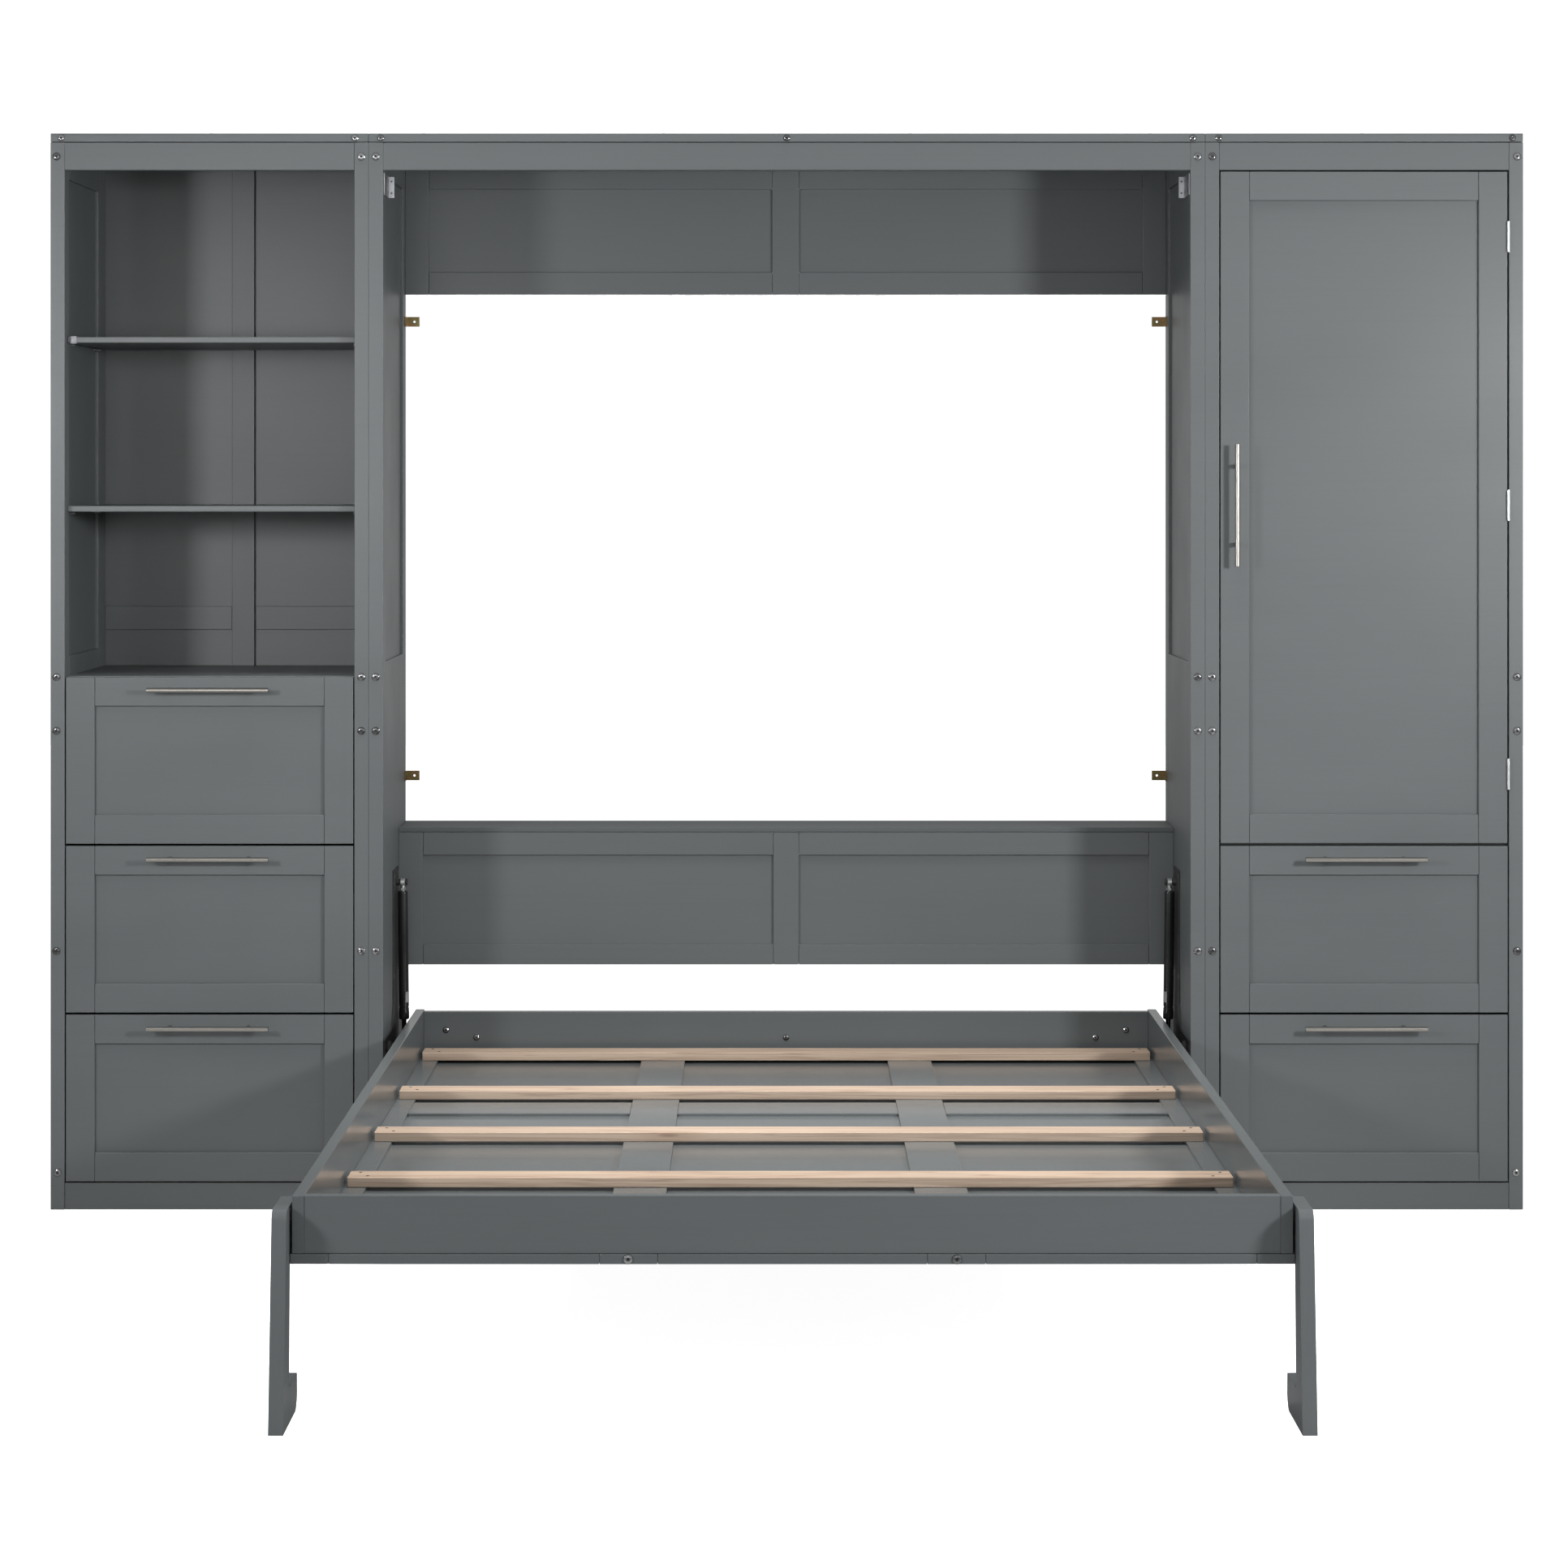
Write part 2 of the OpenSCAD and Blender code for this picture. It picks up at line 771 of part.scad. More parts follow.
cabinet_bolts();
bed_side_rails();
bed_head_rail();
footboard();
bed_deck_head();
bed_deck_foot();
bed_slats();
bed_hinge_plates();
bed_bolts();
leg_pivot_bolts();
leg(LEFT);  // left_leg
leg(RIGHT);  // right_leg
strut_tube(LEFT);  // left_strut_tube
strut_tube(RIGHT);  // right_strut_tube
strut_rod(LEFT);  // left_strut_rod
strut_rod(RIGHT);  // right_strut_rod
drawer_front(LEFT, 2);  // left_top_drawer_front
drawer_box(LEFT, 2);  // left_top_drawer_box
drawer_handle(LEFT, 2);  // left_top_drawer_handle
drawer_front(LEFT, 1);  // left_middle_drawer_front
drawer_box(LEFT, 1);  // left_middle_drawer_box
drawer_handle(LEFT, 1);  // left_middle_drawer_handle
drawer_front(LEFT, 0);  // left_bottom_drawer_front
drawer_box(LEFT, 0);  // left_bottom_drawer_box
drawer_handle(LEFT, 0);  // left_bottom_drawer_handle
drawer_front(RIGHT, 1);  // right_top_drawer_front
drawer_box(RIGHT, 1);  // right_top_drawer_box
drawer_handle(RIGHT, 1);  // right_top_drawer_handle
drawer_front(RIGHT, 0);  // right_bottom_drawer_front
drawer_box(RIGHT, 0);  // right_bottom_drawer_box
drawer_handle(RIGHT, 0);  // right_bottom_drawer_handle
door_panel();
door_handle();
door_hinge_leaves();
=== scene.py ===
"""The looks of a fold-down wall bed between two storage cabinets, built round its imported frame."""
import json
import math

import bmesh
import bpy
from mathutils import Matrix, Vector

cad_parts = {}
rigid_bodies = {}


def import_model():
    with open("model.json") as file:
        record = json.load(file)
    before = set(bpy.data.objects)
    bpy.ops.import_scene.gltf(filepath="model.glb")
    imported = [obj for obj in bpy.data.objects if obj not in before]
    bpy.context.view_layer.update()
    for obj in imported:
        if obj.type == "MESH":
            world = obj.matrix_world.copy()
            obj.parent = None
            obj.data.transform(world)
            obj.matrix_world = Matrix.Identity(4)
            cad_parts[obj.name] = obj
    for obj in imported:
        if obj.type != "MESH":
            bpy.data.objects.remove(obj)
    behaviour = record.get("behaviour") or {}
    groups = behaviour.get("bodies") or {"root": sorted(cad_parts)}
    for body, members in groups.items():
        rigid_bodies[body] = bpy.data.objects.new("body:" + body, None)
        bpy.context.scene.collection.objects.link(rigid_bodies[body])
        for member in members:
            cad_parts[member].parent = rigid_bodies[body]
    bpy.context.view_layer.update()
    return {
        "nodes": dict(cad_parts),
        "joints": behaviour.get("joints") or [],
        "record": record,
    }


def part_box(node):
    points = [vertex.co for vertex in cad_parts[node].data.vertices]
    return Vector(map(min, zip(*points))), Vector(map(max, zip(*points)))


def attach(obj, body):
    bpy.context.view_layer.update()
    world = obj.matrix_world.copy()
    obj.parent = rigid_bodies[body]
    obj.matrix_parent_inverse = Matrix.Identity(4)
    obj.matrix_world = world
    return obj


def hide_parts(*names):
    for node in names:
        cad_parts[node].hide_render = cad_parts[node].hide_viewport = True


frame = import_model()
NODES = frame["nodes"]
BODY_OF = {n: body for body, names in frame["record"]["behaviour"]["bodies"].items() for n in names}
X, Y, Z = 0, 1, 2
AXIS_NAMES = "xyz"
FORWARD = Vector((0, -1, 0))
UP = Vector((0, 0, 1))


# ---------- places taken from the frame ----------

def lo(node):
    """The lowest corner of a CAD node."""
    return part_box(node)[0]


def hi(node):
    """The highest corner of a CAD node."""
    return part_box(node)[1]


FRONT = lo("left_outer_side").y     # the front edges of the cabinets' sides


# ---------- materials ----------

class Shader:
    """A node material that is built up step by step."""

    def __init__(self, name, colour, roughness, metallic=0.0):
        self.material = bpy.data.materials.new(name)
        self.material.use_nodes = True
        self.tree = self.material.node_tree
        self.surface = self.tree.nodes["Principled BSDF"]
        self.surface.inputs["Base Color"].default_value = (*colour, 1)
        self.surface.inputs["Roughness"].default_value = roughness
        self.surface.inputs["Metallic"].default_value = metallic
        self.place = self.add("ShaderNodeTexCoord").outputs["Object"]

    def add(self, kind, **settings):
        """Adds a shader node of a kind, with its settings."""
        node = self.tree.nodes.new(kind)
        for key, value in settings.items():
            setattr(node, key, value)
        return node

    def link(self, source, target):
        """Joins an output to an input."""
        self.tree.links.new(source, target)

    def stretched(self, scale, offset=(0, 0, 0)):
        """Object coordinates scaled by a different number along each axis."""
        mapping = self.add("ShaderNodeMapping")
        mapping.inputs["Scale"].default_value = scale
        mapping.inputs["Location"].default_value = offset
        self.link(self.place, mapping.inputs["Vector"])
        return mapping.outputs["Vector"]

    def noise(self, place, scale=1.0, detail=3.0, rough=0.5, distort=0.0):
        """Soft noise over the places it is given, from 0 to 1."""
        texture = self.add("ShaderNodeTexNoise")
        texture.inputs["Scale"].default_value = scale
        texture.inputs["Detail"].default_value = detail
        texture.inputs["Roughness"].default_value = rough
        texture.inputs["Distortion"].default_value = distort
        self.link(place, texture.inputs["Vector"])
        return texture.outputs["Fac"]

    def ramp(self, factor, stops):
        """Colours by factor: stops are (position, colour) pairs."""
        ramp = self.add("ShaderNodeValToRGB")
        elements = ramp.color_ramp.elements
        while len(elements) < len(stops):
            elements.new(0.5)
        for element, (position, colour) in zip(elements, stops):
            element.position = position
            element.color = (*colour, 1)
        self.link(factor, ramp.inputs["Fac"])
        return ramp.outputs["Color"]

    def between(self, factor, low, high, start=0.0, end=1.0):
        """Maps factor from start..end to low..high."""
        mapped = self.add("ShaderNodeMapRange")
        for name, value in (("From Min", start), ("From Max", end), ("To Min", low), ("To Max", high)):
            mapped.inputs[name].default_value = value
        self.link(factor, mapped.inputs["Value"])
        return mapped.outputs["Result"]

    def mixed(self, factor, first, second):
        """Blends two colours; a factor or colour may be a constant."""
        mix = self.add("ShaderNodeMix", data_type="RGBA")
        for value, target in ((factor, mix.inputs[0]), (first, mix.inputs[6]), (second, mix.inputs[7])):
            if isinstance(value, bpy.types.NodeSocket):
                self.link(value, target)
            elif isinstance(value, tuple):
                target.default_value = (*value, 1)
            else:
                target.default_value = value
        return mix.outputs[2]

    def colour(self, value):
        """Drives the surface's colour with a node's output."""
        self.link(value, self.surface.inputs["Base Color"])

    def roughness(self, value):
        """Drives the surface's roughness with a node's output."""
        self.link(value, self.surface.inputs["Roughness"])

    def bump(self, height, strength, distance):
        """Raises the surface by a height from 0 to 1, over a distance in metres."""
        bump = self.add("ShaderNodeBump")
        bump.inputs["Strength"].default_value = strength
        bump.inputs["Distance"].default_value = distance
        self.link(height, bump.inputs["Height"])
        self.link(bump.outputs["Normal"], self.surface.inputs["Normal"])


def along(axis, small, large):
    """A scale that is small along one axis and large across it."""
    return tuple(small if i == axis else large for i in range(3))


PAINT_COLOUR = (0.095, 0.105, 0.109)


def tinted(colour, factor):
    """A colour made lighter or darker."""
    return tuple(factor * c for c in colour)


def make_paint(axis, name, gloss, shine=0.5):
    """Grey lacquer over wood, whose grain just shows along one axis.

    gloss is its lowest and highest roughness and shine how strongly it reflects.
    """
    s = Shader(name + AXIS_NAMES[axis], PAINT_COLOUR, gloss[0])
    s.surface.inputs["Specular IOR Level"].default_value = shine
    grain = s.noise(s.stretched(along(axis, 2.5, 150.0)), 1.0, 4.0, 0.6, 0.3)
    fibres = s.noise(s.stretched(along(axis, 11.0, 900.0), (0.2, 0.1, 0.4)), 1.0, 2.0, 0.5)
    clouds = s.noise(s.stretched(along(axis, 1.3, 3.2)), 1.0, 3.0, 0.55)
    boards = s.add("ShaderNodeNewGeometry").outputs["Random Per Island"]
    tone = s.ramp(clouds, [(0.3, tinted(PAINT_COLOUR, 0.965)), (0.7, tinted(PAINT_COLOUR, 1.035))])
    tone = s.mixed(s.between(grain, 0.0, 0.1, 0.5, 0.78), tone, tinted(PAINT_COLOUR, 0.6))
    tone = s.mixed(s.between(boards, 0.0, 0.05), tone, tinted(PAINT_COLOUR, 1.9))
    scuffs = s.noise(s.stretched(along(axis, 16.0, 60.0), (0.3, 0.7, 0.1)), 1.0, 6.0, 0.8, 1.2)
    rare = s.noise(s.stretched((2.1, 2.3, 1.7), (5.0, 1.0, 2.0)), 1.0, 1.0)
    wear = s.add("ShaderNodeMath", operation="MULTIPLY")
    s.link(s.between(scuffs, 0.0, 1.0, 0.66, 0.76), wear.inputs[0])
    s.link(s.between(rare, 0.0, 0.4, 0.58, 0.7), wear.inputs[1])
    s.colour(s.mixed(wear.outputs[0], tone, tinted(PAINT_COLOUR, 2.0)))
    s.roughness(s.between(clouds, *gloss, 0.3, 0.7))
    both = s.add("ShaderNodeMath", operation="MULTIPLY_ADD")
    s.link(grain, both.inputs[0])
    both.inputs[1].default_value = 1.6
    s.link(fibres, both.inputs[2])
    s.bump(both.outputs[0], 0.11, 0.0005)
    return s.material


PINE_COLOUR = (0.45, 0.345, 0.262)


def make_pine():
    """Pale planed pine with its grain along X: broad rings, fine streaks, dark pores and rare knots."""
    s = Shader("pine", PINE_COLOUR, 0.5)
    rings = s.noise(s.stretched((0.55, 15.0, 34.0), (2.0, 0.4, 0.1)), 2.0, 2.5, 0.5, 1.8)
    streaks = s.noise(s.stretched((1.6, 60.0, 130.0)), 2.2, 6.0, 0.65, 0.5)
    pores = s.noise(s.stretched((9.0, 330.0, 420.0), (0.1, 0.3, 0.2)), 1.0, 3.0, 0.6)
    tone = s.ramp(rings, [(0.3, tinted(PINE_COLOUR, 1.08)), (0.47, PINE_COLOUR),
                          (0.53, (0.31, 0.22, 0.16)), (0.6, tinted(PINE_COLOUR, 0.96)),
                          (0.75, (0.4, 0.33, 0.275))])
    tone = s.mixed(s.between(streaks, 0.0, 0.45, 0.5, 0.72), tone, (0.27, 0.185, 0.13))
    tone = s.mixed(s.between(pores, 0.0, 0.65, 0.62, 0.74), tone, (0.15, 0.09, 0.055))
    boards = s.add("ShaderNodeNewGeometry").outputs["Random Per Island"]
    tone = s.mixed(s.between(boards, 0.0, 0.3), tone, (0.4, 0.335, 0.28))
    knots = s.add("ShaderNodeTexVoronoi", feature="F1")
    knots.inputs["Scale"].default_value = 1.0
    s.link(s.stretched((2.3, 13.0, 13.0), (0.37, 0.21, 0.0)), knots.inputs["Vector"])
    halo = s.between(knots.outputs["Distance"], 0.4, 0.0, 0.05, 0.2)
    tone = s.mixed(halo, tone, (0.25, 0.14, 0.08))
    dark = s.between(knots.outputs["Distance"], 0.85, 0.0, 0.03, 0.075)
    s.colour(s.mixed(dark, tone, (0.09, 0.045, 0.025)))
    s.roughness(s.between(streaks, 0.42, 0.62))
    s.bump(streaks, 0.3, 0.0005)
    return s.material


def make_plywood():
    """Pale drawer-box plywood with a soft grain along Y."""
    s = Shader("drawer_plywood", (0.6, 0.46, 0.3), 0.5)
    grain = s.noise(s.stretched((40.0, 1.6, 40.0)), 1.5, 5.0, 0.6, 0.8)
    tone = s.ramp(grain, [(0.3, (0.5, 0.35, 0.2)), (0.55, (0.66, 0.5, 0.33)),
                          (0.8, (0.72, 0.57, 0.4))])
    plies = s.add("ShaderNodeTexWave", wave_type="BANDS", bands_direction="X")
    plies.inputs["Scale"].default_value = 90.0
    s.link(s.place, plies.inputs["Vector"])
    edge = s.add("ShaderNodeSeparateXYZ")
    s.link(s.add("ShaderNodeNewGeometry").outputs["Normal"], edge.inputs["Vector"])
    top = s.between(edge.outputs["Z"], 0.0, 0.6, 0.9, 1.0)
    layer = s.add("ShaderNodeMath", operation="MULTIPLY")
    s.link(plies.outputs["Fac"], layer.inputs[0])
    s.link(top, layer.inputs[1])
    s.colour(s.mixed(layer.outputs[0], tone, (0.36, 0.22, 0.11)))
    s.bump(grain, 0.2, 0.0005)
    return s.material


def make_brushed(name, colour, axis, roughness):
    """Metal brushed along an axis."""
    s = Shader(name, colour, roughness, 1.0)
    lines = s.noise(s.stretched(along(axis, 12.0, 2600.0)), 1.0, 2.0, 0.6)
    s.roughness(s.between(lines, roughness - 0.07, roughness + 0.1))
    s.colour(s.ramp(lines, [(0.3, tinted(colour, 0.86)), (0.7, colour)]))
    s.bump(lines, 0.08, 0.0002)
    return s.material


def make_plated(name, colour, roughness, spots=0.12, dullest=1.0):
    """Zinc or chrome plate with a slightly uneven bloom.

    spots is how far the bloom darkens it; dullest is the share of its colour that the dullest part keeps.
    """
    s = Shader(name, colour, roughness, 1.0)
    bloom = s.noise(s.stretched((60.0, 60.0, 60.0)), 1.0, 4.0, 0.6)
    fine = s.noise(s.stretched((900.0, 900.0, 900.0)), 1.0, 2.0)
    tone = s.ramp(bloom, [(0.3, tinted(colour, 1 - spots)), (0.7, colour)])
    if dullest < 1.0:
        pieces = s.add("ShaderNodeNewGeometry").outputs["Random Per Island"]
        tone = s.mixed(s.between(pieces, 0.0, 1.0), tone, tinted(colour, dullest))
    s.colour(tone)
    s.roughness(s.between(bloom, roughness * 0.8, roughness * 1.3))
    s.bump(fine, 0.05, 0.0002)
    return s.material


def make_yellow_zinc():
    """Yellow passivated zinc, drifting from gold to a greenish pink."""
    s = Shader("yellow_zinc", (0.2, 0.16, 0.075), 0.3, 1.0)
    drift = s.noise(s.stretched((70.0, 70.0, 70.0)), 1.0, 3.0, 0.5, 1.0)
    s.colour(s.ramp(drift, [(0.3, (0.3, 0.16, 0.09)), (0.5, (0.22, 0.165, 0.07)),
                            (0.72, (0.15, 0.15, 0.07))]))
    s.roughness(s.between(drift, 0.25, 0.38))
    s.bump(s.noise(s.stretched((700.0, 700.0, 700.0))), 0.05, 0.0002)
    return s.material


def make_coated(name, colour, roughness, texture):
    """Enamel or powder coat with an orange-peel texture."""
    s = Shader(name, colour, roughness)
    peel = s.noise(s.stretched((texture, texture, texture)), 1.0, 3.0, 0.5)
    dust = s.noise(s.stretched((25.0, 25.0, 25.0)), 1.0, 4.0, 0.6)
    s.colour(s.ramp(dust, [(0.35, colour), (0.8, tuple(c * 1.7 + 0.004 for c in colour))]))
    s.roughness(s.between(dust, roughness * 0.85, roughness * 1.2))
    s.bump(peel, 0.12, 0.0003)
    return s.material


PAINT = [make_paint(axis, "satin_paint_", (0.36, 0.46)) for axis in (X, Y, Z)]
BED_PAINT = [make_paint(axis, "bed_paint_", (0.17, 0.25)) for axis in (X, Y, Z)]
DULL_PAINT = make_paint(X, "dull_paint_", (0.5, 0.6), 0.12)
PINE = make_pine()
PLYWOOD = make_plywood()
NICKEL_X = make_brushed("brushed_nickel_x", (0.42, 0.405, 0.375), X, 0.2)
NICKEL_Z = make_brushed("brushed_nickel_z", (0.4, 0.385, 0.355), Z, 0.36)
BRIGHT_ZINC = make_plated("bright_zinc", (0.8, 0.81, 0.82), 0.34)
BOLT_ZINC = make_plated("bolt_zinc", (0.46, 0.47, 0.48), 0.2, 0.2, 0.3)
DULL_ZINC = make_plated("dull_zinc", (0.34, 0.35, 0.36), 0.4, 0.2)
CATCH_ZINC = make_plated("catch_zinc", (0.52, 0.53, 0.55), 0.36)
BLACK_CHROME = make_plated("black_nitride", (0.1, 0.1, 0.105), 0.16, 0.1)
YELLOW_ZINC = make_yellow_zinc()
BLACK_STEEL = make_coated("black_powder_coat", (0.018, 0.018, 0.019), 0.5, 1400.0)
STRUT_BLACK = make_coated("black_enamel", (0.008, 0.008, 0.009), 0.22, 500.0)
LABEL = make_coated("blank_label", (0.2, 0.2, 0.2), 0.4, 900.0)
# Painted shade: a near-black stand-in for the shade in screw slots, round the bolt heads and in their
# sockets.
SHADOW = make_coated("dark_recess", (0.012, 0.012, 0.013), 0.6, 900.0)
CLIP_PLASTIC = make_coated("clip_plastic", (0.2, 0.21, 0.22), 0.3, 600.0)


# ---------- building ----------

def finish_piece(name, mesh, body, materials, replaced=()):
    """Links a mesh as a piece that rides on a body."""
    piece = bpy.data.objects.new(name, mesh)
    bpy.context.scene.collection.objects.link(piece)
    for material in materials:
        mesh.materials.append(material)
    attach(piece, body)
    if replaced:
        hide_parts(*replaced)
    return piece


def smooth(piece):
    """Smooth shading on every face."""
    for polygon in piece.data.polygons:
        polygon.use_smooth = True


def weight_normals(piece):
    """Lets the large faces lead the smooth shading, which keeps them flat."""
    weighted = piece.modifiers.new("weighted normals", "WEIGHTED_NORMAL")
    weighted.weight = 100
    return weighted


def finish_boards(bm, name, node, materials):
    """Makes a bmesh of boards the piece that stands in for a CAD node."""
    mesh = bpy.data.meshes.new(name)
    bm.to_mesh(mesh)
    bm.free()
    piece = finish_piece(name, mesh, BODY_OF[node], materials, [node])
    smooth(piece)
    weight_normals(piece).keep_sharp = True


EASE = 0.0013            # how far the edges of a board are eased
FINE_EASE = 0.0002       # the same for a panel or a tongue, whose edges are hidden
SEAM = 0.0003            # the fine gap where two boards meet
TONGUE = 0.004           # how far a rail's tongue reaches into a stile
TONGUE_FACE = 0.003      # how far the tongue lies under the rail's faces
TONGUE_EDGE = 0.002      # how far it lies inside the rail's edges
SHARP = math.radians(35)
TOUCHING = 0.00001       # corners of a CAD node that are closer than this are one corner


def add_board(bm, low, high, grain, ease=EASE):
    """Adds a board with eased edges between two corners. grain is the axis that its grain follows."""
    size = [b - a for a, b in zip(low, high)]
    centre = [(a + b) / 2 for a, b in zip(low, high)]
    place = Matrix.Translation(centre) @ Matrix.Diagonal((*size, 1))
    made = bmesh.ops.create_cube(bm, size=1.0, matrix=place)
    edges = list({edge for vert in made["verts"] for edge in vert.link_edges})
    faces = {face for vert in made["verts"] for face in vert.link_faces}
    done = bmesh.ops.bevel(bm, geom=edges, offset=min(ease, min(size) * 0.3), segments=2,
                           profile=0.55, affect="EDGES", clamp_overlap=True)
    faces = {face for face in faces if face.is_valid} | set(done["faces"])
    for face in faces:
        face.material_index = grain


def corner(axes, values):
    """A point from values given in the order of axes."""
    point = [0.0, 0.0, 0.0]
    for axis, value in zip(axes, values):
        point[axis] = value
    return point


def framed(node, normal, upright, stiles, rails, insets, paint=PAINT):
    """Rebuilds a frame-and-panel board from its separate stiles, rails and panels.

    normal is the axis through the board and upright the axis that the stiles follow.
    stiles are (start, end) across the board; rails are (start, end) along the stiles.
    insets are how far the panels lie under the low and the high face.
    """
    low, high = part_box(node)
    across = 3 - normal - upright
    axes = (normal, across, upright)
    bm = bmesh.new()
    n0, n1 = low[normal], high[normal]
    v0, v1 = low[upright], high[upright]
    for a, b in stiles:
        add_board(bm, corner(axes, (n0, a, v0)), corner(axes, (n1, b, v1)), upright)
    for left, right in zip(stiles, stiles[1:]):
        for a, b in rails:
            add_board(bm, corner(axes, (n0, left[1] + SEAM, a)),
                      corner(axes, (n1, right[0] - SEAM, b)), across)
            add_board(bm, corner(axes, (n0 + TONGUE_FACE, left[1] - TONGUE, a + TONGUE_EDGE)),
                      corner(axes, (n1 - TONGUE_FACE, right[0] + TONGUE, b - TONGUE_EDGE)),
                      across, FINE_EASE)
        for under, over in zip(rails, rails[1:]):
            add_board(bm, corner(axes, (n0 + insets[0], left[1], under[1])),
                      corner(axes, (n1 - insets[1], right[0], over[0])),
                      upright, FINE_EASE)
    finish_boards(bm, node + "_framed", node, paint)


def dress(node, material, ease, segments=2):
    """Gives a CAD node its material and eased edges."""
    piece = NODES[node]
    piece.data.materials.clear()
    piece.data.materials.append(material)
    smooth(piece)
    weld = piece.modifiers.new("weld", "WELD")
    weld.merge_threshold = TOUCHING
    bevel = piece.modifiers.new("eased edges", "BEVEL")
    bevel.width = ease
    bevel.segments = segments
    bevel.limit_method = "ANGLE"
    bevel.angle_limit = SHARP
    bevel.miter_outer = "MITER_ARC"
    weight_normals(piece)


# ---------- fronts and panels ----------

FRAME_W = 0.059
FRONT_INSETS = (0.007, 0.004)
PANEL_INSET = 0.006
# The inner edges of the stiles, from the front edge, and of the rails, from the floor.
STORAGE_STILES = (0.052, 0.387)
STORAGE_RAILS = (0.09, 1.05, 1.13, 2.11)
BAY_STILES = (0.045, 0.42)
BAY_RAILS = (1.117, 2.119)
# Widths in the bay's backs: side stile, half the middle stile, bottom rail, top rail. Then the inset behind.
BAY_BACKS = {"bay_upper_back": (0.051, 0.029, 0.049, 0.06, 0.0),
             "headboard_panel": (0.052, 0.027, 0.043, 0.049, 0.006)}
DRAWERS = [n[:-len("_front")] for n in NODES if n.endswith("_drawer_front")]


def framed_front(node):
    """A drawer front or door with two stiles and two rails."""
    low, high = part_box(node)
    framed(node, Y, Z, [(low.x, low.x + FRAME_W), (high.x - FRAME_W, high.x)],
           [(low.z, low.z + FRAME_W), (high.z - FRAME_W, high.z)], FRONT_INSETS)


def spans(start, inner_edges, end):
    """The (start, end) of each board in a row that runs from start to end."""
    edges = [start, *inner_edges, end]
    return list(zip(edges[::2], edges[1::2]))


def build_side(node, stiles, rails):
    """A side panel of a cabinet, with its front and back stiles and its rails."""
    top = hi("left_outer_side").z
    depth = hi("left_outer_side").y - FRONT
    framed(node, X, Z, [(FRONT + a, FRONT + b) for a, b in spans(0.0, stiles, depth)],
           spans(0.0, rails, top), (PANEL_INSET, PANEL_INSET))


def build_fronts():
    """Every drawer front and the door."""
    for drawer in DRAWERS:
        framed_front(drawer + "_front")
    framed_front("door_panel")


def build_sides():
    """The sides of the two storage cabinets and of the bay between them."""
    for node in ("left_outer_side", "left_inner_side", "right_inner_side", "right_outer_side"):
        build_side(node, STORAGE_STILES, STORAGE_RAILS)
    for node in ("bay_left_side", "bay_right_side"):
        build_side(node, BAY_STILES, BAY_RAILS)


def build_backs():
    """The backs of the side cabinets, the bay's upper back and the headboard's panel."""
    for name, sign in (("left", -1), ("right", 1)):
        build_back_pair(name + "_back_panels", sign)
    for node, (stile, half_middle, bottom, top, behind) in BAY_BACKS.items():
        low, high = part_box(node)
        framed(node, Y, Z,
               [(low.x, low.x + stile), (-half_middle, half_middle), (high.x - stile, high.x)],
               [(low.z, low.z + bottom), (high.z - top, high.z)], (PANEL_INSET, behind))


# The seam between the two back panels: its distance from the middle, its gap and the strip behind it.
SEAM_X = 1.15
SEAM_GAP = 0.003
SEAM_LAP = 0.03
BACK_STILE = 0.049
BACK_SKIN = 0.006        # how thick the stile and the rails are
SEAM_STRIP = 0.0015
BACK_EASE = 0.0003
BACK_RAILS = [(0.058, 0.108), (1.167, 1.218)]


def build_back_pair(node, sign):
    """The two back panels of a side cabinet, with a stile beside their seam and two rails across each."""
    low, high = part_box(node)
    inner, outer = sorted((abs(low.x), abs(high.x)))
    seam = SEAM_X - SEAM_GAP / 2, SEAM_X + SEAM_GAP / 2
    panels = [(inner, seam[0], inner), (seam[1], outer, seam[1] + BACK_STILE)]
    bm = bmesh.new()

    def add(x0, x1, y0, y1, z0, z1, grain, ease=EASE):
        """Adds a board on this cabinet's side; x0 and x1 are distances from the middle."""
        xs = sorted((sign * x0, sign * x1))
        add_board(bm, (xs[0], y0, z0), (xs[1], y1, z1), grain, ease)

    behind = high.y - SEAM_STRIP
    add(seam[0] - SEAM_LAP, seam[1] + SEAM_LAP, behind, high.y, low.z, high.z, Z, BACK_EASE)
    for start, end, rail_start in panels:
        add(start, end, low.y + BACK_SKIN, behind, low.z, high.z, Z, BACK_EASE)
        if rail_start > start:
            add(start, rail_start, low.y, low.y + BACK_SKIN, low.z, high.z, Z)
        for z0, z1 in BACK_RAILS:
            add(rail_start, end, low.y, low.y + BACK_SKIN, z0, z1, X)
    finish_boards(bm, node + "_framed", node, PAINT)


TOP_SEAM = 0.0008


def build_top_boards():
    """The three top boards, each with a fine joint under it and beside it."""
    for node in ("left_top_board", "bay_top_board", "right_top_board"):
        low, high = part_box(node)
        bm = bmesh.new()
        add_board(bm, (low.x + SEAM, low.y, low.z + TOP_SEAM), (high.x - SEAM, high.y, high.z), X)
        finish_boards(bm, node + "_eased", node, PAINT)


DECK_STILE = 0.06
DECK_MIDDLE_STILE = (0.2135, 0.3055)
DECK_INSETS = (0.004, 0.006)
# The widths of each part's rails, at its front and at its back.
DECK_RAILS = {"bed_deck_head": (0.063, 0.06), "bed_deck_foot": (0.092, 0.063)}


def build_deck():
    """The framed boards under the slats, in two parts that meet across the bed."""
    half = hi("bed_deck_head").x
    inner, outer = DECK_MIDDLE_STILE
    stiles = [(-half, -half + DECK_STILE), (-outer, -inner), (inner, outer),
              (half - DECK_STILE, half)]
    for node, (front, back) in DECK_RAILS.items():
        low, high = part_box(node)
        rails = [(low.y, low.y + front), (high.y - back, high.y)]
        framed(node, Z, Y, stiles, rails, DECK_INSETS, BED_PAINT)


# ---------- small parts ----------

